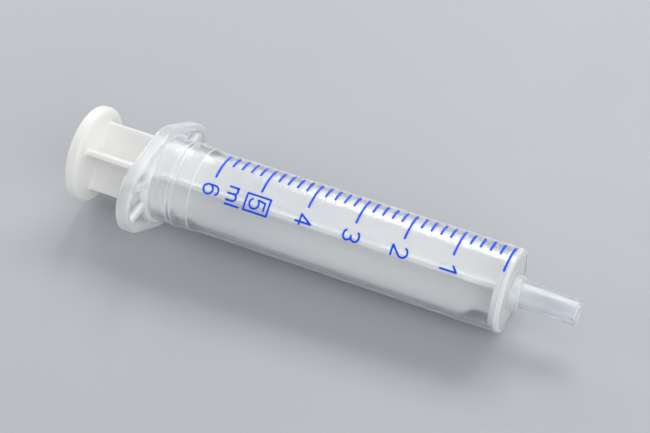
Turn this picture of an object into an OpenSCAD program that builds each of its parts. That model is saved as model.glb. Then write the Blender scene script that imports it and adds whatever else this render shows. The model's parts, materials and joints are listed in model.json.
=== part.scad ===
// Two-piece slip-tip syringe: a clear moulded barrel, a one-piece moulded plunger and a printed scale.
// The syringe lies on its side: +X runs along the axis to the nozzle and +Z is up.
// It rests on one straight edge of the finger flange, and the origin is the middle of its footprint.
// The modules below stand it on end first: z runs along the axis from the zero line to the nozzle,
// x is the side that ends up on top, and angles turn from x toward the side that faces the reader.

/* [Barrel] */
// Inside diameter of the barrel, which also spaces the scale
bore_d = 12.45; // [11:0.05:13.5]
// Thickness of the barrel's wall
wall = 0.72; // [0.5:0.01:1.2]
// Thickness of the closed front wall
front_wall = 0.7; // [0.5:0.05:1.5]
// Rounding of the barrel's front edge
front_round = 0.5; // [0.2:0.05:0.6]
// Plain length of barrel between the last line of the scale and the collar's slope
tail_length = 2.05; // [1:0.05:10]
// Extra thickness of the collar in front of the flange
collar_extra = 0.2; // [0.1:0.05:0.6]
// Length of the collar in front of the flange
collar_length = 7; // [5:0.1:12]
// Length of the slope from the collar down to the barrel
collar_slope = 1.3; // [0.6:0.1:2]
// Distance from the flange to the middle of the bead outside the collar
bead_offset = 4; // [2:0.1:5]
// Section radius of the bead outside the collar
bead_section_r = 1.7; // [0.8:0.05:2.2]
// Height of the bead outside the collar
bead_outer_h = 0.2; // [0.05:0.01:0.4]
// Distance from the flange to the middle of the retaining bead inside the bore
stop_offset = 3; // [2:0.1:4]
// Section radius of the retaining bead inside the bore
stop_section_r = 0.9; // [0.6:0.05:1.2]
// Height of the retaining bead inside the bore, which stops the plunger's lip
bead_inner_h = 0.15; // [0.1:0.01:0.25]
// Extra radius of the lead-in at the open end
lead_in = 0.35; // [0.1:0.05:0.5]
// Length of the lead-in at the open end
lead_in_length = 0.8; // [0.4:0.1:1.5]

/* [Finger flange] */
// How far the straight edges of the flange stand out from the collar
flange_margin = 1.555; // [1.3:0.005:3]
// Radius of the flange's middle, where two straight edges meet
waist_r = 6.5; // [5.5:0.1:7.5]
// Radius of each ear's end
ear_r = 6.2; // [5:0.1:7.5]
// Distance from the axis to the middle of each ear's end
ear_offset = 8; // [7:0.1:12]
// Depth of the flange along the axis
flange_depth = 2.3; // [1.8:0.1:4]
// Thickness of the flange's back plate behind the pockets
back_plate = 1; // [0.6:0.1:1.4]
// Thickness of the rim around the pockets
rim_w = 1; // [0.6:0.1:1.3]
// Thickness of the stiffening ribs in the pockets
rib_w = 1; // [0.6:0.1:1.4]
// Angle of the ribs from the middle of the ear
rib_angle = 14; // [12:0.5:22]

/* [Nozzle] */
// Diameter of the round base of the nozzle
base_d = 5.7; // [5.2:0.1:7]
// Length of the round base of the nozzle
base_length = 1.4; // [1:0.1:3]
// Rounding of the base's front edge
base_round = 0.3; // [0.1:0.05:0.4]
// Diameter of the nozzle at its tip
tip_d = 4.03; // [3.9:0.01:4.2]
// Growth of the nozzle's diameter for each unit of its length
taper = 0.06; // [0.05:0.005:0.07]
// Length of the nozzle in front of its base
nozzle_length = 9.4; // [7.5:0.1:12]
// Bevel of the nozzle's tip
tip_bevel = 0.3; // [0.1:0.05:0.4]
// Diameter of the hole at the tip
mouth_d = 2.2; // [1.4:0.1:2.4]
// Length of the hole at the tip
mouth_length = 1.9; // [1:0.1:4]
// Diameter of the channel behind the hole
channel_d = 2.6; // [2.5:0.1:2.8]

/* [Plunger] */
// Diameter of the thumb disc
thumb_d = 16.5; // [14:0.1:17]
// Thickness of the thumb disc
thumb_t = 2.2; // [1.6:0.1:4]
// Rounding of the thumb disc's edges
thumb_round = 0.7; // [0.3:0.05:0.75]
// Gap between the flange and the thumb disc with the plunger home
thumb_gap = 10.75; // [6:0.05:20]
// Thickness of the stem's fins
fin_t = 1; // [0.7:0.05:1.6]
// Depth of the step where the fins narrow to the neck
fin_step = 1.45; // [0.8:0.05:2]
// Length of the curved step in the fins
step_length = 3.2; // [2.5:0.1:5]
// Length of the neck between the step and the sealing head
neck_length = 2.5; // [1:0.1:5]
// Width of the sealing land on the head
land_w = 0.73; // [0.5:0.01:1.5]
// How far the land reaches in front of the zero line
land_ahead = 0.11; // [0:0.01:0.3]
// Length of the head's nose in front of the land
nose_length = 0.3; // [0.2:0.05:0.8]
// Step in radius from the land to the nose
nose_step = 0.3; // [0.1:0.05:0.8]
// Turn of the fins about the axis
fin_turn = 43; // [0:1:90]

/* [Fits] */
// Radial clearance of the sealing land in the bore
seal_clearance = 0.03; // [0.01:0.01:0.08]
// Radial clearance of the fins inside the retaining bead
fin_clearance = 0.12; // [0.1:0.01:0.4]
// Clearance between the head and the front wall with the plunger home
end_clearance = 0.1; // [0.05:0.01:0.3]
// Clearance between the barrel and the underside of the print
print_clearance = 0.01; // [0.005:0.005:0.03]

/* [Scale] */
// Volume at the last line, in millilitres
capacity = 6; // [6:1:9]
// Number of spaces in each millilitre
divisions = 5; // [2:1:10]
// Millilitre number that stands in a frame
nominal = 5; // [1:1:5]
// Width of the printed lines
line_w = 0.36; // [0.2:0.01:0.5]
// Width of the strokes in the numerals, the letters and the frame
stroke_w = 0.33; // [0.2:0.01:0.4]
// Thickness of the print
print_t = 0.04; // [0.02:0.01:0.1]
// Angle of the lines' far end from the top
scale_start = -29.3; // [-60:0.1:0]
// Length of the short lines around the barrel
short_line = 3.05; // [2:0.05:4]
// Length of the long lines around the barrel
long_line = 6; // [4.5:0.05:8]
// Space between the long lines and the numerals
numeral_gap = 1.15; // [0.8:0.05:2]
// Height of the numerals along the axis
numeral_h = 2.95; // [2.4:0.05:3.6]
// Width of the numerals around the barrel
numeral_w = 1.95; // [1.6:0.05:2.2]
// Height of the frame along the axis
frame_h = 4.4; // [4:0.1:5.2]
// Width of the frame around the barrel
frame_w = 3.1; // [2.8:0.1:3.6]
// Height of the low letter in the unit
letter_h = 1.85; // [1.5:0.05:2]
// Width of the low letter in the unit
letter_w = 2.55; // [2.2:0.05:2.8]
// Height of the tall letter in the unit
tall_letter_h = 2.55; // [2:0.05:2.7]
// Space between the letters of the unit
letter_gap = 0.35; // [0.2:0.05:0.6]
// Space along the axis between the unit and the frame
unit_gap = 0.65; // [0.3:0.05:1]
// How far the unit starts ahead of the numerals
unit_lead = 0.7; // [0:0.05:0.9]

/* [Hidden] */
$fn = 96;
// Overlap that carries a cut past the face it starts from
cut = 1;

// Radii
bore_r = bore_d / 2;
barrel_r = bore_r + wall;
collar_r = barrel_r + collar_extra;
flange_r = collar_r + flange_margin;
bead_in_r = bore_r - bead_inner_h;
lip_r = bore_r - seal_clearance;
nose_r = lip_r - nose_step;
fin_r = bead_in_r - fin_clearance;
neck_r = fin_r - fin_step;
base_r = base_d / 2;
tip_r = tip_d / 2;
root_r = tip_r + taper * nozzle_length / 2;
print_in_r = barrel_r + print_clearance;
print_out_r = print_in_r + print_t;

// Stations along the axis, measured from the zero line toward the nozzle
ml_pitch = 1000 / (PI * bore_r * bore_r);
last_line = -capacity * ml_pitch;
collar_end = last_line - tail_length - collar_slope;
flange_front = collar_end - collar_length;
flange_back = flange_front - flange_depth;
bead_at = flange_front + bead_offset;
stop_at = flange_front + stop_offset;
land_front = land_ahead;
land_back = land_front - land_w;
nose_front = land_front + nose_length;
cavity_front = nose_front + end_clearance;
barrel_front = cavity_front + front_wall;
base_front = barrel_front + base_length;
tip_front = base_front + nozzle_length;
mouth_back = tip_front - mouth_length;
neck_back = land_back - neck_length;
step_back = neck_back - step_length;
thumb_front = flange_back - thumb_gap;
thumb_back = thumb_front - thumb_t;

// The straight edges of the flange slope by this angle, so the flange rests on one turned flat
rest_turn = asin((flange_r - ear_r) / ear_offset);
// The middle's arcs lie this far off the axis, so each straight edge reaches past the point below the axis
waist_shift = (flange_r - waist_r) / cos(rest_turn);
// Place of the zero line and height of the axis with the syringe lying down
zero_x = -(tip_front + thumb_back) / 2;
axis_z = max(flange_r, thumb_d / 2);

// Angle that an arc along the barrel's surface takes up
function arc_angle(length) = length / barrel_r * 180 / PI;
numeral_start = scale_start + arc_angle(long_line + numeral_gap);
numeral_angle = numeral_start + arc_angle(numeral_w / 2);
unit_angle = numeral_start + arc_angle(letter_w / 2 - unit_lead);
unit_foot = -nominal * ml_pitch - frame_h / 2 - unit_gap - tall_letter_h;

// Lays the standing syringe on its side and onto its resting edge
module lay_down() {
    translate([zero_x, 0, axis_z])
        rotate([0, 90, 0])
            rotate([0, 0, 180])
                children();
}

// Half outline of a round bar from z0 to z1 with its two outer edges rounded
module bar_outline(r, z0, z1, low_round, high_round) {
    translate([0, z0 + low_round])
        square([r, z1 - z0 - low_round - high_round]);
    translate([0, z0])
        square([r - max(low_round, high_round), z1 - z0]);
    if (low_round > 0)
        translate([r - low_round, z0 + low_round])
            circle(low_round);
    if (high_round > 0)
        translate([r - high_round, z1 - high_round])
            circle(high_round);
}

// Half outline of the barrel's outside: tube, collar, bead, nozzle base and nozzle
module barrel_outline() {
    bar_outline(barrel_r, flange_back, barrel_front, 0, front_round);
    bar_outline(base_r, cavity_front, base_front, 0, base_round);
    translate([collar_r + bead_outer_h - bead_section_r, bead_at])
        circle(bead_section_r);
    polygon([
        [0, flange_back],
        [collar_r, flange_back],
        [collar_r, collar_end],
        [barrel_r, collar_end + collar_slope],
        [0, collar_end + collar_slope]
    ]);
    polygon([
        [0, cavity_front],
        [root_r + taper / 2 * (base_front - cavity_front), cavity_front],
        [tip_r + taper / 2 * tip_bevel, tip_front - tip_bevel],
        [tip_r - tip_bevel, tip_front],
        [0, tip_front]
    ]);
}

// Half outline of the space inside: bore with its retaining bead, lead-in, channel and mouth
module cavity_outline() {
    difference() {
        translate([0, flange_back - cut])
            square([bore_r, cavity_front - flange_back + cut]);
        translate([bead_in_r + stop_section_r, stop_at])
            circle(stop_section_r);
    }
    polygon([
        [0, flange_back - cut],
        [bore_r + lead_in, flange_back - cut],
        [bore_r + lead_in, flange_back],
        [bore_r, flange_back + lead_in_length],
        [0, flange_back + lead_in_length]
    ]);
    translate([0, cavity_front - cut])
        square([channel_d / 2, mouth_back - cavity_front + cut]);
    translate([0, mouth_back - cut])
        square([mouth_d / 2, tip_front - mouth_back + 2 * cut]);
}

// Round middle of the flange on both sides of the barrel, set in by an amount
module flange_waist(inset) {
    for (way = [-1, 1])
        translate([way * waist_shift, 0])
            circle(waist_r - inset);
}

// Outline of the flange: a round middle drawn out to two ears, set in by an amount
module flange_outline(inset) {
    side = cos(rest_turn);
    rise = sin(rest_turn);
    mid_r = waist_r - inset;
    end_r = ear_r - inset;
    flange_waist(inset);
    for (way = [-1, 1]) {
        translate([0, way * ear_offset])
            circle(end_r);
        polygon([
            [-waist_shift - mid_r * side, way * mid_r * rise],
            [-end_r * side, way * (ear_offset + end_r * rise)],
            [end_r * side, way * (ear_offset + end_r * rise)],
            [waist_shift + mid_r * side, way * mid_r * rise]
        ]);
    }
}

// Pockets in the two ears, split by the stiffening ribs
module ear_pockets() {
    difference() {
        flange_outline(rim_w);
        flange_waist(rim_w);
        circle(flange_r - rim_w);
        for (turn = [rib_angle, -rib_angle, 180 + rib_angle, 180 - rib_angle])
            rotate(turn)
                translate([-rib_w / 2, 0])
                    square([rib_w, ear_offset + ear_r]);
    }
}

// Finger flange with its ears hollowed from the nozzle side
module finger_flange() {
    difference() {
        linear_extrude(flange_depth)
            flange_outline(0);
        translate([0, 0, back_plate])
            linear_extrude(flange_depth)
                ear_pockets();
    }
}

// Clear polypropylene barrel: tube, finger flange and slip-taper nozzle in one moulding
module barrel() {
    color("aliceblue", 0.5)
        lay_down()
            difference() {
                union() {
                    rotate_extrude()
                        barrel_outline();
                    translate([0, 0, flange_back])
                        rotate(-rest_turn)
                            finger_flange();
                }
                rotate_extrude()
                    cavity_outline();
            }
}

// Half outline of a fin: straight, then two equal arcs that curve in to the neck
module fin_outline() {
    arc_r = (step_length * step_length + fin_step * fin_step) / (4 * fin_step);
    mid_r = (fin_r + neck_r) / 2;
    half = step_length / 2;
    translate([0, thumb_front - thumb_t / 2])
        square([fin_r, step_back - thumb_front + thumb_t / 2]);
    intersection() {
        translate([0, step_back - cut])
            square([fin_r, half + cut]);
        translate([fin_r - arc_r, step_back])
            circle(arc_r);
    }
    translate([0, step_back - cut])
        square([mid_r, half + cut]);
    difference() {
        translate([0, step_back + half - cut])
            square([mid_r, half + cut]);
        translate([neck_r + arc_r, neck_back])
            circle(arc_r);
    }
    translate([0, neck_back - cut])
        square([neck_r, land_front - neck_back + cut]);
}

// Milky polyethylene plunger: thumb disc, finned stem and sealing head in one moulding
module plunger() {
    color("ivory")
        lay_down() {
            rotate_extrude() {
                bar_outline(thumb_d / 2, thumb_back, thumb_front, thumb_round, thumb_round);
                bar_outline(lip_r, land_back, land_front, 0, 0);
                bar_outline(nose_r, land_back, nose_front, 0, 0);
            }
            for (quarter = [0:3])
                rotate(fin_turn + 90 * quarter)
                    rotate([90, 0, 0])
                        translate([0, 0, -fin_t / 2])
                            linear_extrude(fin_t)
                                fin_outline();
        }
}

// One printed line around the barrel at a height on the axis
module ring_line(height, length) {
    translate([0, 0, height - line_w / 2])
        rotate(scale_start)
            rotate_extrude(angle = arc_angle(length))
                translate([print_in_r, 0])
                    square([print_t, line_w]);
}

// Long lines at the whole millilitres
module major_graduations() {
    color("royalblue")
        lay_down()
            for (ml = [0:capacity])
                ring_line(-ml * ml_pitch, long_line);
}

// Short lines between the whole millilitres
module minor_graduations() {
    color("royalblue")
        lay_down()
            for (step = [1:capacity * divisions - 1])
                if (step % divisions != 0)
                    ring_line(-step * ml_pitch / divisions, short_line);
}

// Wraps a flat drawing onto the barrel, its middle at an angle and a height
module wrap(angle, height) {
    intersection() {
        rotate(angle)
            translate([0, 0, height])
                rotate([90, 0, 90])
                    linear_extrude(print_out_r + cut)
                        children();
        translate([0, 0, height - ml_pitch])
            difference() {
                cylinder(h = 2 * ml_pitch, r = print_out_r);
                translate([0, 0, -cut])
                    cylinder(h = 2 * (ml_pitch + cut), r = print_in_r);
            }
    }
}

// Straight stroke between two points
module stroke(from, to) {
    run = to - from;
    translate(from)
        rotate(atan2(run[1], run[0]))
            translate([0, -stroke_w / 2])
                square([norm(run), stroke_w]);
}

// Round stroke about a point, with its middle line at a radius, from one angle to another
module arc_stroke(middle, r, from, to) {
    reach = 2 * (r + stroke_w);
    pieces = ceil((to - from) / 60);
    turn = (to - from) / pieces;
    translate(middle)
        intersection() {
            difference() {
                circle(r + stroke_w / 2);
                circle(r - stroke_w / 2);
            }
            polygon([
                [0, 0],
                for (i = [0:pieces])
                    reach * [cos(from + turn * i), sin(from + turn * i)]
            ]);
        }
}

// Plain numeral, upright and centred, drawn along the middle lines of its strokes
module numeral(value) {
    side = (numeral_w - stroke_w) / 2;
    top = (numeral_h - stroke_w) / 2;
    stem = side * 0.5;
    bar = -top * 0.45;
    crown = [0, top - side];
    bowl = [0, side - top];
    if (value == 1) {
        flag = [-side * 0.7, top * 0.4];
        stroke([stem, -numeral_h / 2], [stem, numeral_h / 2]);
        stroke([stem, top], flag);
    }
    if (value == 2) {
        leave = 40;
        foot = [-side, -top];
        stroke_start = crown + side * [cos(leave), -sin(leave)];
        arc_stroke(crown, side, -leave, 165);
        stroke(stroke_start, foot);
        stroke([-numeral_w / 2, -top], [numeral_w / 2, -top]);
    }
    if (value == 3) {
        lobe_r = top / 2;
        spread = side - lobe_r;
        for (way = [-1, 1]) {
            arc_stroke([spread, way * lobe_r], lobe_r, -90, 90);
            stroke([-spread, way * top], [spread, way * top]);
        }
        arc_stroke([-spread, lobe_r], lobe_r, 90, 160);
        arc_stroke([-spread, -lobe_r], lobe_r, 200, 270);
        stroke([-spread, 0], [spread, 0]);
    }
    if (value == 4) {
        stroke([stem, -numeral_h / 2], [stem, numeral_h / 2]);
        stroke([-numeral_w / 2, bar], [numeral_w / 2, bar]);
        stroke([stem, top], [-side, bar]);
    }
    if (value == 5) {
        meet = 135;
        join = bowl + side * [cos(meet), sin(meet)];
        heel = [-side * 0.9, join[1]];
        arc_stroke(bowl, side, -155, meet);
        stroke(heel - [stroke_w / 2, 0], join);
        stroke(heel, [-side * 0.65, top]);
        stroke([-side * 0.65 - stroke_w / 2, top], [side, top]);
    }
    if (value == 6) {
        arc_stroke(bowl, side, 0, 360);
        stroke(bowl - [side, 0], crown - [side, 0]);
        arc_stroke(crown, side, 25, 180);
    }
    if (value == 7) {
        stroke([-numeral_w / 2, top], [numeral_w / 2, top]);
        stroke([side, top], [-side * 0.3, -numeral_h / 2]);
    }
    if (value == 8) {
        lobe_r = top / 2;
        for (way = [-1, 1])
            arc_stroke([0, way * lobe_r], lobe_r, 0, 360);
    }
    if (value == 9)
        rotate(180)
            numeral(6);
}

// Numerals beside the whole millilitres
module numerals() {
    color("royalblue")
        lay_down()
            for (ml = [1:capacity])
                wrap(numeral_angle, -ml * ml_pitch)
                    numeral(ml);
}

// Low letter with two arches, then a tall letter, standing on one line
module unit_drawing() {
    side = (letter_w - stroke_w) / 2;
    arch_r = side / 2;
    arch_foot = letter_h - arch_r - stroke_w / 2;
    tall_at = (letter_w + stroke_w) / 2 + letter_gap;
    for (stem = [0, side])
        stroke([stem, 0], [stem, arch_foot]);
    stroke([-side, 0], [-side, letter_h]);
    for (arch = [-arch_r, arch_r])
        arc_stroke([arch, arch_foot], arch_r, 0, 180);
    stroke([tall_at, 0], [tall_at, tall_letter_h]);
}

// Unit of the scale, behind the framed numeral
module unit_letters() {
    color("royalblue")
        lay_down()
            wrap(unit_angle, unit_foot)
                unit_drawing();
}

// Frame round the nominal capacity
module capacity_frame() {
    color("royalblue")
        lay_down()
            wrap(numeral_angle, -nominal * ml_pitch)
                difference() {
                    square([frame_w, frame_h], center = true);
                    square([frame_w - 2 * stroke_w, frame_h - 2 * stroke_w], center = true);
                }
}

barrel();
plunger();
major_graduations();
minor_graduations();
numerals();
unit_letters();
capacity_frame();
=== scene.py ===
"""Dresses a two-piece slip-tip syringe: clear barrel, milky plunger and a blue printed scale on a pale floor.

The syringe lies along +X with its nozzle at the far end. Lengths are in metres. Stations are distances along
the axis from the zero line toward the nozzle, and angles turn from the top toward the reader's side (-Y).
"""
import json
import math
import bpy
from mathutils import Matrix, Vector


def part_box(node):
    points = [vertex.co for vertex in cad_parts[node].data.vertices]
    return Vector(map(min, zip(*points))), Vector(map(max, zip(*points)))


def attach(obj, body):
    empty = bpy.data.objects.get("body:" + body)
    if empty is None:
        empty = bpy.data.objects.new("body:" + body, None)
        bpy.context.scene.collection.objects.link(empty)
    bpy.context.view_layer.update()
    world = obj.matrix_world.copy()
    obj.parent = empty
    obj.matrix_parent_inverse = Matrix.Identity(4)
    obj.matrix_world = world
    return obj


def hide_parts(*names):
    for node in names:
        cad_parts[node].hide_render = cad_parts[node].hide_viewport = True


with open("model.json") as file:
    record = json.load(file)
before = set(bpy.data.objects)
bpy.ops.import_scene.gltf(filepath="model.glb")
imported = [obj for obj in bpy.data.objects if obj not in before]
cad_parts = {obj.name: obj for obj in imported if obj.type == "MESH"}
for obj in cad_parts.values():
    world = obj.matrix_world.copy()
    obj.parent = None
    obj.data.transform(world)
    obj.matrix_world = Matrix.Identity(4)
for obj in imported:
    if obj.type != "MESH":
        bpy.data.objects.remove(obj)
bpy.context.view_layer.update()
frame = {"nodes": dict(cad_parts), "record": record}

from types import SimpleNamespace

import bpy
import numpy as np
from bpy.props import FloatProperty, FloatVectorProperty, IntProperty, PointerProperty
from mathutils import Matrix, Vector

bl_info = {
    "name": "Slip-tip syringe",
    "version": (1, 0, 0),
    "blender": (4, 5, 0),
    "location": "View3D > Sidebar > Syringe",
    "description": "Builds the clear barrel, the milky plunger, the printed scale and the studio around them",
    "category": "Add Mesh",
}

MOUNTS = {mount["name"]: mount for mount in frame["record"]["mounts"]}
# Name of the attribute with the wall's thickness plus painted gleam lines at the creases, which the material turns
# into haze.
THICKNESS_AND_GLEAM = "thickness"
PRINT_NODES = ("major_graduations", "minor_graduations", "numerals", "unit_letters", "capacity_frame")


def mm(length):
    """A length in millimetres as metres."""
    return length / 1000


def linear(hex_colour):
    """An sRGB hex colour such as "#1B4FE0" as linear red, green and blue."""
    srgb = np.array([int(hex_colour[i:i + 2], 16) for i in (1, 3, 5)]) / 255
    return tuple(np.where(srgb <= 0.04045, srgb / 12.92, ((srgb + 0.055) / 1.055) ** 2.4))


def size(name, description, default):
    """A length property with its default in millimetres."""
    return FloatProperty(name=name, description=description, default=mm(default), unit="LENGTH", precision=5)


def colour(name, description, default):
    """A colour property with its default as an sRGB hex value."""
    return FloatVectorProperty(name=name, description=description, default=linear(default), subtype="COLOR",
                               size=3, min=0, max=1)


# The frame gives the places and fits that the pieces have to keep. The zero line is the foremost of the print, so
# its middle lies half a line's width behind the front of the print's box.
TUBE_R = mm(MOUNTS["barrel_body"]["dims"]["r_mm"])
MOUTH_R = mm(MOUNTS["nozzle_mouth"]["dims"]["r_mm"])
MOUTH_LENGTH = mm(MOUNTS["nozzle_mouth"]["dims"]["length_mm"])
AXIS_Z = MOUNTS["barrel_body"]["pos_m"][2]
LINE_W = mm(0.36)
ZERO_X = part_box("major_graduations")[1].x - LINE_W / 2
BARREL_LOW, BARREL_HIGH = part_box("barrel")
PLUNGER_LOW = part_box("plunger")[0]

# From the end of a rounding to the extra row that keeps the flat beside it flat.
HOLD = mm(0.03)
# Angles of the rows over a quarter round.
QUARTER = np.linspace(0, math.pi / 2, 7)
# Over this length one thickness of the barrel's wall fades into the next.
SOFT = mm(0.2)
# Half widths of the painted gleam lines, whiter haze standing in for light gathered in the collar's creases and in
# the step behind the mouth.
PAINTED_GLEAM_HALF_W = mm(0.12)
PAINTED_MOUTH_GLEAM_HALF_W = mm(0.09)
# The flange's front face stops this far outside the collar, clear of the fillet between them.
FILLET_ROOM = mm(0.45)


class BarrelSizes(bpy.types.PropertyGroup):
    """Sizes of the clear barrel."""
    bore_r: size("Bore radius", "Inside radius of the tube", 6.225)
    front_wall: size("Front wall", "Thickness of the closed front wall", 0.7)
    front_at: size("Front", "Station of the barrel's front face", 1.21)
    lip_at: size("Lip", "Station of the small step behind the front edge", 0.6)
    lip_drop: size("Lip drop", "Depth of the small step behind the front edge", 0.075)
    front_round: size("Front round", "Rounding of the barrel's front edge", 0.4)
    ring_r: size("Face ring", "Inside radius of the raised ring around the front face", 6.3)
    ring_h: size("Ring height", "Height of the raised ring around the front face", 0.1)
    base_r: size("Nozzle base", "Radius of the round base of the nozzle", 2.85)
    base_length: size("Base length", "Length of the round base of the nozzle", 1.4)
    root_r: size("Nozzle root", "Radius of the nozzle where it leaves its base", 2.297)
    tip_r: size("Nozzle tip", "Radius of the nozzle at its tip", 2.015)
    tip_round: size("Tip round", "Rounding of the nozzle's tip", 0.32)
    channel_r: size("Channel", "Radius of the channel behind the mouth", 1.3)
    collar_extra: size("Collar", "Extra radius of the collar in front of the flange", 0.2)
    collar_length: size("Collar length", "Length of the collar in front of the flange", 7)
    collar_slope: size("Collar slope", "Length of the slope from the collar to the tube", 1.3)
    bead_offset: size("Bead offset", "Distance from the flange to the crest of the retaining bead", 4)
    bead_back: size("Bead back", "Length of the bead's slope toward the flange", 1)
    bead_front: size("Bead front", "Length of the bead's slope toward the nozzle", 0.75)
    bead_h: size("Bead height", "Height of the bead outside the collar", 0.2)
    stop_offset: size("Stop offset", "Distance from the flange to the middle of the stop inside the bore", 3)
    stop_width: size("Stop width", "Half width of the stop inside the bore", 0.5)
    stop_h: size("Stop height", "Height of the stop inside the bore", 0.15)
    lead_in: size("Lead-in", "Extra radius at the open end", 0.35)
    lead_in_length: size("Lead-in length", "Length of the lead-in at the open end", 0.8)
    flange_r: size("Flange edge", "Distance from the axis to each straight edge of the flange", 8.7)
    waist_r: size("Flange middle", "Radius of the flange's middle, where two straight edges meet", 6.5)
    ear_r: size("Ear radius", "Radius of each ear's end", 6.2)
    ear_offset: size("Ear offset", "Distance from the axis to the middle of each ear's end", 8)
    flange_depth: size("Flange depth", "Depth of the flange along the axis", 2.3)
    flange_round: size("Flange round", "Rounding of the flange's back edge", 0.5)
    rim_round: size("Rim round", "Rounding of the rim's front edge", 0.35)
    rim_w: size("Rim width", "Thickness of the rim around the pockets", 1)
    pocket_depth: size("Pocket depth", "Depth of the pockets in the ears", 1.3)
    rib_w: size("Rib width", "Thickness of the ribs in the pockets", 1)
    rib_drop: size("Rib drop", "How far the ribs lie below the rim", 0.15)
    rib_angle: FloatProperty(name="Rib angle", description="Angle of the ribs from the middle of the ear",
                             default=math.radians(14), subtype="ANGLE")
    columns: IntProperty(name="Columns", description="Points around the barrel", default=368)
    face_rows: IntProperty(name="Face rows", description="Rows of points across the flange's front", default=56)


class PlungerSizes(bpy.types.PropertyGroup):
    """Sizes of the milky plunger."""
    thumb_r: size("Thumb disc", "Radius of the thumb disc", 8.25)
    thumb_t: size("Disc thickness", "Thickness of the thumb disc", 2.2)
    thumb_round: size("Disc round", "Rounding of the thumb disc's edges", 0.8)
    dish_depth: size("Dish depth", "Depth of the shallow dish in the thumb disc's back", 0.25)
    fin_r: size("Fin reach", "Radius that the fins reach", 5.955)
    neck_r: size("Neck reach", "Radius that the fins reach at the neck", 4.505)
    fin_t: size("Fin thickness", "Thickness of the fins", 1)
    fin_round: size("Fin round", "Rounding of the fins' edges", 0.3)
    fin_fillet: size("Fin fillet", "Rounding between the fins along the axis", 0.5)
    foot_fillet: size("Foot fillet", "Rounding where the fins meet the disc and the head", 0.6)
    step_back: size("Step start", "Station where the fins start to narrow", -6.32)
    step_front: size("Step end", "Station where the fins reach the neck", -3.12)
    land_r: size("Land radius", "Radius of the sealing land", 6.195)
    land_back: size("Land back", "Station of the land's back edge", -0.62)
    land_front: size("Land front", "Station of the land's front edge", 0.11)
    nose_r: size("Nose radius", "Radius of the head's nose", 5.895)
    nose_front: size("Nose front", "Station of the head's front face", 0.41)
    fin_turn: FloatProperty(name="Fin turn", description="Turn of the fins about the axis",
                            default=math.radians(43), subtype="ANGLE")
    columns: IntProperty(name="Columns", description="Points around the plunger", default=416)
    shaft_rows: IntProperty(name="Shaft rows", description="Rows of points along the straight fins", default=11)
    step_rows: IntProperty(name="Step rows", description="Rows of points along the narrowing fins", default=25)


class FinishColours(bpy.types.PropertyGroup):
    """Colours of the mouldings, the print, the floor and the room."""
    clear: colour("Clear plastic", "Tint of the clear barrel", "#F4F7FB")
    milky: colour("Milky plastic", "Body colour of the plunger", "#F4F3F0")
    ink: colour("Ink", "Colour of the printed scale", "#0050F5")
    thin_ink: colour("Thin ink", "Colour of the printed scale where its film is thin", "#0D59F5")
    floor: colour("Floor", "Colour of the floor", "#B4B7BB")
    room: colour("Room", "Colour of the room's even light", "#ECF0F3")


class StageSettings(bpy.types.PropertyGroup):
    """Camera and light of the studio."""
    azimuth: FloatProperty(name="Azimuth", description="Turn of the camera from looking along +Y",
                           default=math.radians(24.445), subtype="ANGLE")
    elevation: FloatProperty(name="Elevation", description="Height of the camera above the horizon",
                             default=math.radians(46.19), subtype="ANGLE")
    distance: size("Distance", "Distance from the camera to its target", 281.16)
    target: FloatVectorProperty(name="Target", description="Point that the camera looks at",
                                default=(mm(-0.85), mm(2.66), AXIS_Z), subtype="TRANSLATION", size=3)
    lens: FloatProperty(name="Lens", description="Focal length in millimetres on a 36 mm sensor", default=95.65)
    room_light: FloatProperty(name="Room light", description="Strength of the room's even light", default=0.42)


def smooth_step(value):
    """0 below 0, 1 above 1 and a smooth S between: 3 t squared less 2 t cubed."""
    t = np.clip(value, 0, 1)
    return t * t * (3 - 2 * t)


def crowded_angles(count, centres, spread, boost, samples=7201):
    """Angles round a circle, closer together near each centre.

    The density is one plus a bell of the given spread and height at each centre. The angles part its running
    sum, taken at many samples, into equal shares.
    """
    fine = np.linspace(0, 2 * math.pi, samples)
    away = (fine[:, None] - np.array(centres)[None, :] + math.pi) % (2 * math.pi) - math.pi
    crowd = 1 + boost * np.exp(-(away / spread) ** 2).sum(1)
    total = np.concatenate([[0], np.cumsum((crowd[1:] + crowd[:-1]) / 2)])
    return np.interp(np.linspace(0, total[-1], count, endpoint=False), total, fine)


def rounded_path(corners, arc_points=5, hold=HOLD, longest=mm(6)):
    """A path of (station, radius) points through corners, each (station, radius, rounding).

    A rounded corner becomes an arc that is tangent to both sides. The arc's middle lies on the line that halves
    the corner, and its points blend the radii to its two ends by sines. One extra point stands just outside each
    end, so that flat faces keep flat shading. Straight stretches over the longest are split evenly.
    """
    points = []
    for i, (station, radius, rounding) in enumerate(corners):
        here = np.array([station, radius])
        if rounding <= 0 or i in (0, len(corners) - 1):
            points.append(here[None, :])
            continue
        back = np.array(corners[i - 1][:2]) - here
        ahead = np.array(corners[i + 1][:2]) - here
        back /= np.linalg.norm(back)
        ahead /= np.linalg.norm(ahead)
        half = math.acos(np.clip(back @ ahead, -1, 1)) / 2
        reach = rounding / math.tan(half)
        middle = here + (back + ahead) / np.linalg.norm(back + ahead) * rounding / math.sin(half)
        start = here + back * reach - middle
        end = here + ahead * reach - middle
        sweep = math.pi - 2 * half
        share = np.linspace(0, 1, arc_points)[:, None]
        arc = middle + (start * np.sin((1 - share) * sweep) + end * np.sin(share * sweep)) / math.sin(sweep)
        points += [(here + back * (reach + hold))[None, :], arc, (here + ahead * (reach + hold))[None, :]]
    path = np.concatenate(points)
    pieces = np.ceil(np.hypot(*np.diff(path, axis=0).T) / longest)
    knots = np.concatenate([[0], np.cumsum(np.maximum(pieces, 1))])
    spots = np.arange(knots[-1] + 1)
    return np.stack([np.interp(spots, knots, column) for column in path.T], -1)


def between(first, last, count):
    """Rows spread evenly between two rows, without the two themselves."""
    share = np.linspace(0, 1, count + 2)[1:-1, None]
    return (1 - share) * first + share * last


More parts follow.
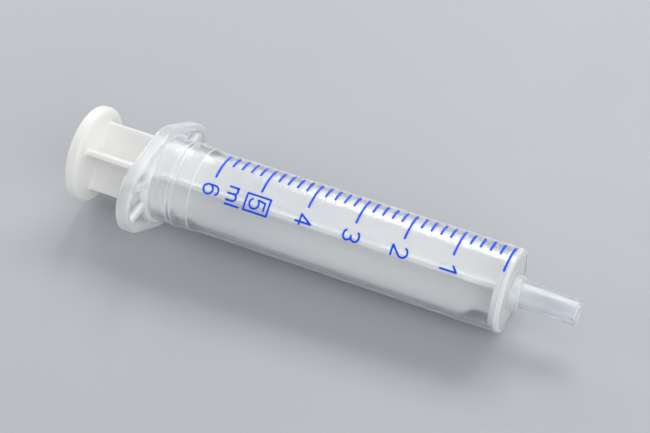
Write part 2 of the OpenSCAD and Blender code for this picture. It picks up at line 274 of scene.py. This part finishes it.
def join_rows(parts, angles):
    """Stations and radii of all rows, from parts that each give a column of stations and rows of radii."""
    stations = np.concatenate([station + 0 * angles for station, _ in parts])
    radii = np.concatenate([radius + 0 * angles for _, radius in parts])
    return stations, radii


def around_axis(stations, radii, angles):
    """Points in the row frame from arrays of station and radius (rows by columns) and the columns' angles."""
    x = stations + ZERO_X
    y = -radii * np.sin(angles)
    z = AXIS_Z + radii * np.cos(angles)
    return np.stack([x, y, z], -1)


def skin(name, grid, ring):
    """A closed mesh over a grid of points whose columns run all the way round.

    A ring also joins its last row to its first. Otherwise the first and last rows close on one point each.
    """
    rows, columns = grid.shape[:2]
    index = np.arange(rows * columns).reshape(rows, columns)
    beside = np.roll(index, -1, 1)
    low, high = (index, np.roll(index, -1, 0)) if ring else (index[:-1], index[1:])
    low_beside, high_beside = (beside, np.roll(beside, -1, 0)) if ring else (beside[:-1], beside[1:])
    faces = np.stack([low, low_beside, high_beside, high], -1).reshape(-1, 4).tolist()
    points = grid.reshape(-1, 3)
    if not ring:
        poles = np.stack([grid[0].mean(0), grid[-1].mean(0)])
        first = np.stack([np.full(columns, len(points)), beside[0], index[0]], -1)
        last = np.stack([np.full(columns, len(points) + 1), index[-1], beside[-1]], -1)
        points = np.concatenate([points, poles])
        faces += first.tolist() + last.tolist()
    mesh = bpy.data.meshes.new(name)
    mesh.from_pydata(points, [], faces)
    mesh.polygons.foreach_set("use_smooth", np.ones(len(mesh.polygons), bool))
    mesh.update()
    piece = bpy.data.objects.new(name, mesh)
    bpy.context.scene.collection.objects.link(piece)
    return piece


def dress(piece, node, body, material):
    """Puts a finished piece in the place of its CAD node."""
    piece.data.materials.append(material)
    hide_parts(node)
    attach(piece, body)


def flange_lean(s):
    """Lean of the flange's straight edges toward its ears, and the distance of its side circles from the axis.

    The sine of the lean is what the ear's radius lacks to the straight edge's distance, over the ear's offset.
    Each side circle is moved away from the axis until it touches two straight edges.
    """
    lean = math.asin((s.flange_r - s.ear_r) / s.ear_offset)
    return lean, (s.flange_r - s.waist_r) / math.cos(lean)


def flange_outline(s, inset, turn):
    """Radius of the flange's outline, set in by an amount, at each turn from the middle of an ear.

    The outline is a circle in each ear and one on each side of the barrel, joined by their common tangents. From
    the ear's middle the radius is that of the ear's circle, then of the tangent, then of the side's circle.
    """
    lean, shift = flange_lean(s)
    ear_r = s.ear_r - inset
    waist_r = s.waist_r - inset
    turn = np.abs((turn + math.pi / 2) % math.pi - math.pi / 2)
    sine, cosine = np.sin(turn), np.cos(turn)
    ear = s.ear_offset * cosine + np.sqrt(np.maximum(ear_r ** 2 - (s.ear_offset * sine) ** 2, 0))
    tangent = (s.flange_r - inset) / (math.cos(lean) * sine + math.sin(lean) * cosine)
    waist = shift * sine + np.sqrt(waist_r ** 2 - (shift * cosine) ** 2)
    leave_ear = np.arctan2(ear_r * math.cos(lean), s.ear_offset + ear_r * math.sin(lean))
    meet_waist = np.arctan2(shift + waist_r * math.cos(lean), waist_r * math.sin(lean))
    return np.where(turn < leave_ear, ear, np.where(turn < meet_waist, tangent, waist))


def pocket_floor(s, radii, turn):
    """Depth of the flange's front below the rim, for points at a radius and a turn from the middle of an ear.

    A point's distance to the outline is to the ear's circle, the straight edge or the side's circle, whichever it
    lies beside. It is in a pocket where it is inside the rim, outside the core round the barrel and clear of the
    ribs. The depth follows a smooth step of the least of those distances, which gives the walls draft and fillets.
    """
    draft = mm(0.3)
    lean, shift = flange_lean(s)
    along = np.abs(radii * np.cos(turn))
    across = np.abs(radii * np.sin(turn))
    ear = np.hypot(across, along - s.ear_offset) - s.ear_r
    waist = np.hypot(along, across - shift) - s.waist_r
    side = across * math.cos(lean) + along * math.sin(lean) - s.flange_r
    run = along * math.cos(lean) - across * math.sin(lean)
    edge = np.where(run > s.ear_offset * math.cos(lean), ear, side)
    edge = np.where(run < -shift * math.sin(lean), waist, edge)
    core = np.minimum(radii - s.flange_r, waist)
    inside = np.minimum(-edge, core + 2 * s.rim_w) - s.rim_w
    rib = np.abs(across * math.cos(s.rib_angle) - along * math.sin(s.rib_angle)) - s.rib_w / 2
    cells = np.minimum(inside, rib)
    return s.rib_drop * smooth_step(inside / draft) + (s.pocket_depth - s.rib_drop) * smooth_step(cells / draft)


def flange_rows(s, at, mouth_r, turn):
    """The flange's back face, back edge, rim edge and front face, each as stations and rows of radii.

    The faces spread between a circle and the outline. The edges are quarter rounds, whose rows follow the outline
    set in by the round's own curve. The front face sinks into the pockets.
    """
    back_r = between(mouth_r, flange_outline(s, s.flange_round + HOLD, turn), count=6)
    quarter = QUARTER[:, None]
    back_edge = (at.flange_back + s.flange_round * (1 - np.sin(quarter[::-1])),
                 flange_outline(s, s.flange_round * (1 - np.sin(quarter)), turn))
    rim_edge = (at.flange_front - s.rim_round * (1 - np.sin(quarter)),
                flange_outline(s, s.rim_round * (1 - np.cos(quarter)), turn))
    share = np.linspace(0, 1, s.face_rows)[:, None]
    front_r = (1 - share) * flange_outline(s, s.rim_round + HOLD, turn) + share * (at.collar_r + FILLET_ROOM)
    return [
        (at.flange_back + 0 * back_r, back_r),
        back_edge,
        rim_edge,
        (at.flange_front - pocket_floor(s, front_r, turn), front_r),
    ]


def barrel_marks(s):
    """Stations along the barrel, and the collar's radius, that its sizes and the frame give."""
    flange_back = BARREL_LOW.x - ZERO_X
    flange_front = flange_back + s.flange_depth
    collar_end = flange_front + s.collar_length
    tip = BARREL_HIGH.x - ZERO_X
    return SimpleNamespace(
        flange_back=flange_back,
        flange_front=flange_front,
        stop=flange_front + s.stop_offset,
        bead=flange_front + s.bead_offset,
        bead_foot=flange_front + s.bead_offset - s.bead_back,
        collar_end=collar_end,
        collar_r=TUBE_R + s.collar_extra,
        slope_end=collar_end + s.collar_slope,
        cavity_front=s.front_at - s.front_wall,
        base_front=s.front_at + s.base_length,
        mouth_back=tip - MOUTH_LENGTH,
        tip=tip,
    )


def barrel_paths(s, at):
    """The barrel's round profile as paths of (station, radius) points: outside to bore, stop, mouth and collar.

    Each path runs through corners with roundings, and the stop is one wave of a cosine. The profile closes on the
    collar's slope, where the last path ends just behind the start of the first.
    """
    slope_round = mm(6)
    lip_length, lip_round = mm(0.05), mm(0.025)
    ring_slope, ring_round = mm(0.05), mm(0.04)
    base_fillet, base_round, root_fillet = mm(0.3), mm(0.36), mm(0.12)
    channel_round, step_round, bore_fillet = mm(0.15), mm(0.06), mm(0.3)
    lead_round, mouth_land = mm(0.25), mm(0.6)
    flange_fillet, foot_round, crest_round, bead_fillet = mm(0.25), mm(0.1), mm(0.12), mm(0.25)
    lip_r = TUBE_R - s.lip_drop
    face = s.front_at - s.ring_h
    stop_rows = 9

    def on_slope(share):
        return at.collar_end + share * s.collar_slope, at.collar_r - share * s.collar_extra, 0

    outside = rounded_path([
        on_slope(0.6),
        (at.slope_end, TUBE_R, slope_round),
        (at.cavity_front - SOFT, TUBE_R, 0),
        (s.lip_at, TUBE_R, lip_round),
        (s.lip_at + lip_length, lip_r, lip_round),
        (s.front_at, lip_r, s.front_round),
        (s.front_at, s.ring_r, ring_round),
        (face, s.ring_r - ring_slope, ring_round),
        (face, s.base_r, base_fillet),
        (at.base_front, s.base_r, base_round),
        (at.base_front, s.root_r, root_fillet),
        (at.tip, s.tip_r, s.tip_round),
        (at.tip, MOUTH_R, channel_round),
        (at.mouth_back, MOUTH_R, step_round),
        (at.mouth_back, s.channel_r, step_round),
        (at.cavity_front, s.channel_r, channel_round),
        (at.cavity_front, s.bore_r, bore_fillet),
        (at.stop + s.stop_width, s.bore_r, 0),
    ])
    wave = np.linspace(1, -1, stop_rows + 2)[1:-1]
    stop = np.stack([at.stop + s.stop_width * wave,
                     s.bore_r - s.stop_h * (0.5 + 0.5 * np.cos(math.pi * wave))], -1)
    mouth = rounded_path([
        (at.stop - s.stop_width, s.bore_r, 0),
        (at.flange_back + s.lead_in_length, s.bore_r, SOFT),
        (at.flange_back, s.bore_r + s.lead_in, lead_round),
        (at.flange_back, s.bore_r + s.lead_in + mouth_land, 0),
    ])
    # Rows a painted gleam's half width from each rounding keep that painted gleam along the crease narrow. The
    # first row is the flange's own last one, so it is dropped.
    collar = rounded_path([
        (at.flange_front, at.collar_r + FILLET_ROOM, 0),
        (at.flange_front, at.collar_r, flange_fillet),
        (at.bead_foot, at.collar_r, foot_round),
        (at.bead, at.collar_r + s.bead_h, crest_round),
        (at.bead + s.bead_front, at.collar_r, bead_fillet),
        (at.collar_end, at.collar_r, SOFT),
        on_slope(0.5),
    ], hold=PAINTED_GLEAM_HALF_W)[1:]
    return outside, stop, mouth, collar


def thickness_and_painted_gleam(s, at, stations, radii, turn):
    """How much plastic lies behind each point, plus painted gleam at creases, which the material turns into haze.

    Along the axis it is the wall's own thickness, on straight lines between the stations where that changes. The
    front wall counts as three walls at its corner and as itself inside, and the flange's rim as the mean of the
    plate and the full depth. Thin lines at the bead, the collar's end and the step behind the mouth are set to the
    full depth as well: this paints the gleam of light gathered in those creases as bright lines of extra haze.
    """
    wall = TUBE_R - s.bore_r
    plate = s.flange_depth - s.pocket_depth
    collar_wall = wall + s.collar_extra
    base_wall = s.base_r - s.channel_r
    nozzle_wall = s.root_r - s.channel_r
    knots = np.array([
        (at.flange_back + plate, plate),
        (at.flange_front, s.flange_depth),
        (at.flange_front + SOFT, collar_wall),
        (at.collar_end, collar_wall),
        (at.slope_end, wall),
        (at.cavity_front - SOFT, wall),
        (at.cavity_front, base_wall),
        (at.base_front, base_wall),
        (at.base_front + SOFT, nozzle_wall),
        (at.tip - s.tip_round, nozzle_wall),
        (at.tip, base_wall),
    ])
    thickness = np.interp(stations, *knots.T)
    front = smooth_step((stations - at.cavity_front) / SOFT + 1)
    corner = smooth_step((radii - s.bore_r) / SOFT)
    pane = smooth_step((radii - s.base_r) / SOFT) * (1 - corner)
    thickness += front * (corner * (3 * wall - thickness) + pane * (s.front_wall - thickness))
    rim = smooth_step((radii - flange_outline(s, s.rim_w + SOFT, turn)) / SOFT)
    thickness += rim * ((s.flange_depth + plate) / 2 - thickness)
    # Painted gleam: these creases are set to the full depth, so the haze draws bright lines there as if light
    # gathered in them.
    creases = np.array([at.bead_foot, at.bead, at.collar_end, at.mouth_back])
    widths = np.array([PAINTED_GLEAM_HALF_W, PAINTED_GLEAM_HALF_W, PAINTED_GLEAM_HALF_W, PAINTED_MOUTH_GLEAM_HALF_W])
    near = np.clip(1 - np.abs(stations[..., None] - creases) / widths, 0, 1).max(-1)
    near *= (radii > TUBE_R) | (stations > at.base_front)
    return thickness + near * (s.flange_depth - thickness)


def barrel_grid(s):
    """The barrel's whole skin as rows of points along one closed profile, and the thickness behind each point,
    with painted gleam lines at the creases.

    The profile runs along the outside from the collar to the nozzle's tip, back through the channel and the bore
    to the open end, and out over the flange. It is carried round the axis, with more columns at the ears.
    """
    at = barrel_marks(s)
    outside, stop, mouth, collar = barrel_paths(s, at)
    ear = math.pi / 2 - flange_lean(s)[0]
    angles = crowded_angles(s.columns, (ear, ear + math.pi), spread=math.radians(30), boost=2.5)
    turn = angles - ear
    parts = [np.hsplit(path, 2) for path in (outside, stop, mouth)]
    parts += flange_rows(s, at, mouth[-1, 1], turn)
    parts.append(np.hsplit(collar, 2))
    stations, radii = join_rows(parts, angles)
    return around_axis(stations, radii, angles), thickness_and_painted_gleam(s, at, stations, radii, turn)


def cross_distance(points, reach, thickness, edge_round, fillet):
    """Signed distance from points to a cross of two bars with rounded ends and filleted inner corners.

    Each bar is a rounded rectangle. The two distances are joined by a circular fillet: where both are under the
    fillet's radius, the joint follows the arc between them.
    """
    points = np.abs(points)
    half = np.stack(np.broadcast_arrays(reach, thickness / 2 + 0 * reach), -1)
    bars = []
    for order in ((0, 1), (1, 0)):
        past = points[..., order] - (half - edge_round)
        outside = np.linalg.norm(np.maximum(past, 0), axis=-1)
        bars.append(outside + np.minimum(past.max(-1), 0) - edge_round)
    first, second = bars
    pull = np.hypot(np.maximum(fillet - first, 0), np.maximum(fillet - second, 0))
    return np.maximum(fillet, np.minimum(first, second)) - pull


def cross_radius(s, reach, grow, angles, halvings=40):
    """Radius of the finned stem's outline at each angle, for rows of fin reach, grown outward by an amount.

    The radius along each ray is found by halving: the cross is seen whole from its middle, so a ray leaves it
    once.
    """
    turn = angles - s.fin_turn
    rays = np.stack([np.cos(turn), np.sin(turn)], -1)
    low = np.zeros((len(reach), len(angles)))
    high = np.full_like(low, s.thumb_r)
    for _ in range(halvings):
        middle = (low + high) / 2
        points = rays * middle[..., None]
        distance = cross_distance(points, reach[:, None], s.fin_t, s.fin_round, s.fin_fillet)
        inside = distance < grow[:, None]
        low, high = np.where(inside, middle, low), np.where(inside, high, middle)
    return (low + high) / 2


def fin_reach(s, stations):
    """How far the fins reach at each station: full, then two equal arcs in an S, then the neck."""
    depth = s.fin_r - s.neck_r
    length = s.step_front - s.step_back
    arc_r = (length ** 2 + depth ** 2) / (4 * depth)
    run = np.clip(stations - s.step_back, 0, length)
    first = s.fin_r - arc_r + np.sqrt(arc_r ** 2 - np.minimum(run, length / 2) ** 2)
    second = s.neck_r + arc_r - np.sqrt(arc_r ** 2 - np.minimum(length - run, length / 2) ** 2)
    return np.where(run < length / 2, first, second)


def plunger_grid(s):
    """The plunger's whole skin as rows of points from the middle of the thumb disc to the middle of the head.

    Rows on the disc and the head are circles. Rows on the stem follow the cross of fins, which grows outward near
    the disc and the head by the inside of a quarter circle, so the fins stand in a fillet.
    """
    pole_r = mm(0.3)
    brim_w, brim_round = mm(1.4), mm(0.6)
    dish_inset, dish_round = mm(2.4), mm(1.2)
    disc_inset, head_inset = mm(1.6), mm(0.9)
    land_round, nose_fillet = mm(0.12), mm(0.06)
    back = PLUNGER_LOW.x - ZERO_X
    front = back + s.thumb_t
    fins = s.fin_turn + np.arange(4) * math.pi / 2
    angles = crowded_angles(s.columns, fins, spread=math.radians(6), boost=5)
    disc = rounded_path([
        (back + s.dish_depth, pole_r, 0),
        (back + s.dish_depth, s.thumb_r - dish_inset, dish_round),
        (back, s.thumb_r - brim_w, brim_round),
        (back, s.thumb_r, s.thumb_round),
        (front, s.thumb_r, s.thumb_round),
        (front, s.thumb_r - disc_inset, 0),
    ])
    head = rounded_path([
        (s.land_back, s.land_r - head_inset, 0),
        (s.land_back, s.land_r, land_round),
        (s.land_front, s.land_r, land_round),
        (s.land_front, s.nose_r, nose_fillet),
        (s.nose_front, s.nose_r, land_round),
        (s.nose_front, pole_r, 0),
    ])
    fillet = s.foot_fillet
    lift = fillet * (1 - np.cos(QUARTER))
    grow = fillet * (1 - np.sin(QUARTER))
    shaft = np.linspace(front + fillet, s.step_back, s.shaft_rows + 2)[1:-1]
    step = np.linspace(s.step_back, s.step_front, s.step_rows)
    stations = np.concatenate([front + lift, shaft, step, (s.land_back - lift)[::-1]])
    grows = np.concatenate([grow, 0 * shaft, 0 * step, grow[::-1]])
    stem_r = cross_radius(s, fin_reach(s, stations), grows, angles)
    disc_r = between(disc[-1, 1], stem_r[0], count=4)
    head_r = between(stem_r[-1], head[0, 1], count=4)
    parts = [
        np.hsplit(disc, 2),
        (front + 0 * disc_r, disc_r),
        (stations[:, None], stem_r),
        (s.land_back + 0 * head_r, head_r),
        np.hsplit(head, 2),
    ]
    return around_axis(*join_rows(parts, angles), angles)


def add_node(tree, kind, settings=None, inputs=None):
    """Adds a shader node, sets its properties and fills its inputs with values or links."""
    node = tree.nodes.new(kind)
    for key, value in (settings or {}).items():
        setattr(node, key, value)
    for key, value in (inputs or {}).items():
        if isinstance(value, bpy.types.NodeSocket):
            tree.links.new(value, node.inputs[key])
        else:
            node.inputs[key].default_value = value
    return node


def new_material(name):
    """An empty node material with its tree and output."""
    material = bpy.data.materials.new(name)
    material.use_nodes = True
    tree = material.node_tree
    tree.nodes.clear()
    return material, tree, add_node(tree, "ShaderNodeOutputMaterial")


def clear_polypropylene(tint):
    """Moulded clear polypropylene: see-through with a milky haze, glossy, with soft flow marks.

    Natural polypropylene scatters a little light, so it looks whiter where it is thick and where the eye meets it
    at a slant and crosses more of it. Bright lines along its creases are painted gleam: the thickness that sets
    the haze is raised there. The flow marks are streaks along the axis, about 1.5 mm wide and twelve times as
    long, that vary the gloss. Most lamp light passes through, so the plunger inside is lit and the shadow stays
    pale.
    """
    clear, hazy = 0.94, 0.2
    material, tree, output = new_material("Polypropylene, moulded clear")
    place = add_node(tree, "ShaderNodeTexCoord")
    stretch = add_node(tree, "ShaderNodeMapping", inputs={
        "Vector": place.outputs["Object"], "Scale": (0.08, 1, 1),
    })
    flow = add_node(tree, "ShaderNodeTexNoise", inputs={
        "Vector": stretch.outputs["Vector"], "Scale": 1 / mm(1.5), "Detail": 3,
    })
    gloss = add_node(tree, "ShaderNodeMapRange", inputs={
        "Value": flow.outputs["Fac"], "To Min": 0.13, "To Max": 0.18,
    })
    # The thickness attribute carries painted gleam lines at the creases, which come out as whiter haze.
    wall = add_node(tree, "ShaderNodeAttribute", settings={"attribute_name": THICKNESS_AND_GLEAM})
    clarity = add_node(tree, "ShaderNodeMapRange", inputs={
        "Value": wall.outputs["Fac"], "From Min": mm(0.85), "From Max": mm(2.3), "To Min": clear, "To Max": hazy,
    })
    slant = add_node(tree, "ShaderNodeLayerWeight", inputs={"Blend": 0.5})
    through = add_node(tree, "ShaderNodeMapRange", inputs={
        "Value": slant.outputs["Facing"], "From Min": 0.6, "To Min": clarity.outputs["Result"], "To Max": hazy,
    })
    light = add_node(tree, "ShaderNodeLightPath")
    cover = add_node(tree, "ShaderNodeMapRange", inputs={
        "Value": light.outputs["Is Shadow Ray"], "To Min": 1, "To Max": 0.3,
    })
    shader = add_node(tree, "ShaderNodeBsdfPrincipled", inputs={
        "Base Color": (*tint, 1), "Roughness": gloss.outputs["Result"], "IOR": 1.49,
        "Transmission Weight": through.outputs["Result"], "Alpha": cover.outputs["Result"],
        "Subsurface Weight": 1, "Subsurface Radius": (1, 1, 1), "Subsurface Scale": mm(1),
    })
    tree.links.new(shader.outputs["BSDF"], output.inputs["Surface"])
    return material


def milky_polyethylene(tint):
    """Moulded milky polyethylene: white, waxy and slightly see-through, so edges and thin fins glow.

    Light scatters about 1 mm into it, red a little further than blue. A fine grain about 0.4 mm across dulls
    the gloss unevenly and roughens the surface very slightly.
    """
    material, tree, output = new_material("Polyethylene, moulded milky")
    place = add_node(tree, "ShaderNodeTexCoord")
    grain = add_node(tree, "ShaderNodeTexNoise", inputs={
        "Vector": place.outputs["Object"], "Scale": 1 / mm(0.4), "Detail": 4,
    })
    gloss = add_node(tree, "ShaderNodeMapRange", inputs={
        "Value": grain.outputs["Fac"], "To Min": 0.3, "To Max": 0.45,
    })
    bump = add_node(tree, "ShaderNodeBump", inputs={
        "Height": grain.outputs["Fac"], "Strength": 0.15, "Distance": mm(0.05),
    })
    shader = add_node(tree, "ShaderNodeBsdfPrincipled", inputs={
        "Base Color": (*tint, 1), "Roughness": gloss.outputs["Result"], "IOR": 1.51,
        "Subsurface Weight": 0.7, "Subsurface Radius": (1, 0.93, 0.85), "Subsurface Scale": mm(1),
        "Normal": bump.outputs["Normal"],
    })
    tree.links.new(shader.outputs["BSDF"], output.inputs["Surface"])
    return material


def screen_ink(tint, thin):
    """Screen-printed ink: opaque and satin, a little lighter where the film is thin.

    The film's thickness varies over patches about 0.3 mm across, the mesh of the screen.
    """
    material, tree, output = new_material("Ink, screen-printed")
    place = add_node(tree, "ShaderNodeTexCoord")
    film = add_node(tree, "ShaderNodeTexNoise", inputs={
        "Vector": place.outputs["Object"], "Scale": 1 / mm(0.3), "Detail": 2,
    })
    shade = add_node(tree, "ShaderNodeMix", settings={"data_type": "RGBA"}, inputs={
        "Factor": film.outputs["Fac"], "A": (*tint, 1), "B": (*thin, 1),
    })
    shader = add_node(tree, "ShaderNodeBsdfPrincipled", inputs={
        "Base Color": shade.outputs[2], "Roughness": 0.5, "Specular IOR Level": 0.1,
    })
    tree.links.new(shader.outputs["BSDF"], output.inputs["Surface"])
    return material


def pale_floor(tint):
    """Plain pale laminate: matt, with a slight unevenness of its gloss 20 mm across."""
    material, tree, output = new_material("Laminate, plain pale")
    place = add_node(tree, "ShaderNodeTexCoord")
    cloud = add_node(tree, "ShaderNodeTexNoise", inputs={
        "Vector": place.outputs["Object"], "Scale": 1 / mm(20),
    })
    gloss = add_node(tree, "ShaderNodeMapRange", inputs={
        "Value": cloud.outputs["Fac"], "To Min": 0.5, "To Max": 0.6,
    })
    shader = add_node(tree, "ShaderNodeBsdfPrincipled", inputs={
        "Base Color": (*tint, 1), "Roughness": gloss.outputs["Result"],
    })
    tree.links.new(shader.outputs["BSDF"], output.inputs["Surface"])
    return material


def facing(place, back):
    """The transform of a camera or lamp at a place, with its back turned to a direction."""
    return Matrix.Translation(place) @ back.to_track_quat("Z", "Y").to_matrix().to_4x4()


class SYRINGE_OT_barrel(bpy.types.Operator):
    """Builds the clear barrel with its flange and nozzle"""
    bl_idname = "syringe.barrel"
    bl_label = "Build barrel"

    def execute(self, context):
        grid, thickness = barrel_grid(context.scene.syringe_barrel)
        piece = skin("clear_barrel", grid, ring=True)
        # The attribute holds the thickness behind each point with painted gleam lines at the creases.
        piece.data.attributes.new(THICKNESS_AND_GLEAM, "FLOAT", "POINT").data.foreach_set("value", thickness.ravel())
        dress(piece, "barrel", "barrel",
              clear_polypropylene(context.scene.syringe_colours.clear))
        return {"FINISHED"}


class SYRINGE_OT_plunger(bpy.types.Operator):
    """Builds the milky plunger with its thumb disc, fins and head"""
    bl_idname = "syringe.plunger"
    bl_label = "Build plunger"

    def execute(self, context):
        piece = skin("milky_plunger", plunger_grid(context.scene.syringe_plunger), ring=False)
        dress(piece, "plunger", "plunger",
              milky_polyethylene(context.scene.syringe_colours.milky))
        return {"FINISHED"}


class SYRINGE_OT_print(bpy.types.Operator):
    """Inks the printed lines, numerals, unit and frame"""
    bl_idname = "syringe.print"
    bl_label = "Ink the scale"

    def execute(self, context):
        colours = context.scene.syringe_colours
        ink = screen_ink(colours.ink, colours.thin_ink)
        for name in PRINT_NODES:
            frame["nodes"][name].material_slots[0].material = ink
        return {"FINISHED"}


class SYRINGE_OT_stage(bpy.types.Operator):
    """Sets the floor, the soft lights and the camera"""
    bl_idname = "syringe.stage"
    bl_label = "Set the stage"

    def execute(self, context):
        self.lay_floor(context.scene)
        self.hang_lights(context.scene)
        self.place_camera(context.scene)
        return {"FINISHED"}

    def lay_floor(self, scene):
        """A wide plane that touches the flange's resting edge and the barrel's front edge."""
        reach = 1.5
        sizes = scene.syringe_barrel
        flange_x = BARREL_LOW.x + sizes.flange_depth
        front_x = ZERO_X + sizes.lip_at
        slope = (AXIS_Z - TUBE_R) / (front_x - flange_x)
        corners = reach * np.array([(-1, -1), (1, -1), (1, 1), (-1, 1)])
        height = (corners[:, :1] - flange_x) * slope
        mesh = bpy.data.meshes.new("floor")
        mesh.from_pydata(np.concatenate([corners, height], 1), [], [(0, 1, 2, 3)])
        mesh.materials.append(pale_floor(scene.syringe_colours.floor))
        floor = bpy.data.objects.new("floor", mesh)
        scene.collection.objects.link(floor)

    def hang_lights(self, scene):
        """Soft boxes behind the syringe, off its nozzle and on both sides of its thumb disc, in a pale room.

        Each has a direction from the syringe, a distance, a width and height in metres, and a power in watts.
        """
        boxes = (
            ("key_softbox", (0.02, 0.72, 0.69), 0.6, (0.4, 0.18), 1.8),
            ("fill_softbox", (0.7, -0.45, 0.55), 0.7, (0.7, 0.7), 2.7),
            ("edge_softbox", (-0.68, 0.55, 0.42), 0.6, (0.3, 0.3), 0.7),
            ("side_softbox", (-0.88, -0.32, 0.35), 0.5, (0.25, 0.25), 0.55),
        )
        for name, direction, distance, box, power in boxes:
            data = bpy.data.lights.new(name, "AREA")
            data.shape = "RECTANGLE"
            data.size, data.size_y = box
            data.energy = power
            light = bpy.data.objects.new(name, data)
            toward = Vector(direction).normalized()
            light.matrix_world = facing(toward * distance, toward)
            scene.collection.objects.link(light)
        world = bpy.data.worlds.new("studio")
        world.use_nodes = True
        background = world.node_tree.nodes["Background"]
        background.inputs["Color"].default_value = (*scene.syringe_colours.room, 1)
        background.inputs["Strength"].default_value = scene.syringe_stage.room_light
        scene.world = world
        scene.view_settings.view_transform = "Standard"

    def place_camera(self, scene):
        """A camera that looks at its target from the azimuth and elevation of the photo."""
        stage = scene.syringe_stage
        back = Vector((math.sin(stage.azimuth) * math.cos(stage.elevation),
                       -math.cos(stage.azimuth) * math.cos(stage.elevation), math.sin(stage.elevation)))
        data = bpy.data.cameras.new("camera")
        data.lens = stage.lens
        data.sensor_width = 36
        data.clip_start = mm(10)
        camera = bpy.data.objects.new("camera", data)
        camera.matrix_world = facing(Vector(stage.target) + back * stage.distance, back)
        scene.collection.objects.link(camera)
        scene.camera = camera


class SYRINGE_PT_panel(bpy.types.Panel):
    """Lists the steps that build the syringe"""
    bl_idname = "SYRINGE_PT_panel"
    bl_label = "Syringe"
    bl_space_type = "VIEW_3D"
    bl_region_type = "UI"
    bl_category = "Syringe"

    def draw(self, context):
        for step in STEPS:
            self.layout.operator(step.bl_idname)


GROUPS = {
    "syringe_barrel": BarrelSizes,
    "syringe_plunger": PlungerSizes,
    "syringe_colours": FinishColours,
    "syringe_stage": StageSettings,
}
STEPS = (SYRINGE_OT_barrel, SYRINGE_OT_plunger, SYRINGE_OT_print, SYRINGE_OT_stage)


def register():
    """Registers the settings, the steps and the panel."""
    for group in GROUPS.values():
        bpy.utils.register_class(group)
    for name, group in GROUPS.items():
        setattr(bpy.types.Scene, name, PointerProperty(type=group))
    for step in (*STEPS, SYRINGE_PT_panel):
        bpy.utils.register_class(step)


def unregister():
    """Takes away what register added, in the opposite order."""
    for step in (SYRINGE_PT_panel, *reversed(STEPS)):
        bpy.utils.unregister_class(step)
    for name in GROUPS:
        delattr(bpy.types.Scene, name)
    for group in GROUPS.values():
        bpy.utils.unregister_class(group)


def main():
    """Builds the pieces and the stage."""
    register()
    bpy.ops.syringe.barrel()
    bpy.ops.syringe.plunger()
    bpy.ops.syringe.print()
    bpy.ops.syringe.stage()


if __name__ == "__main__":
    main()
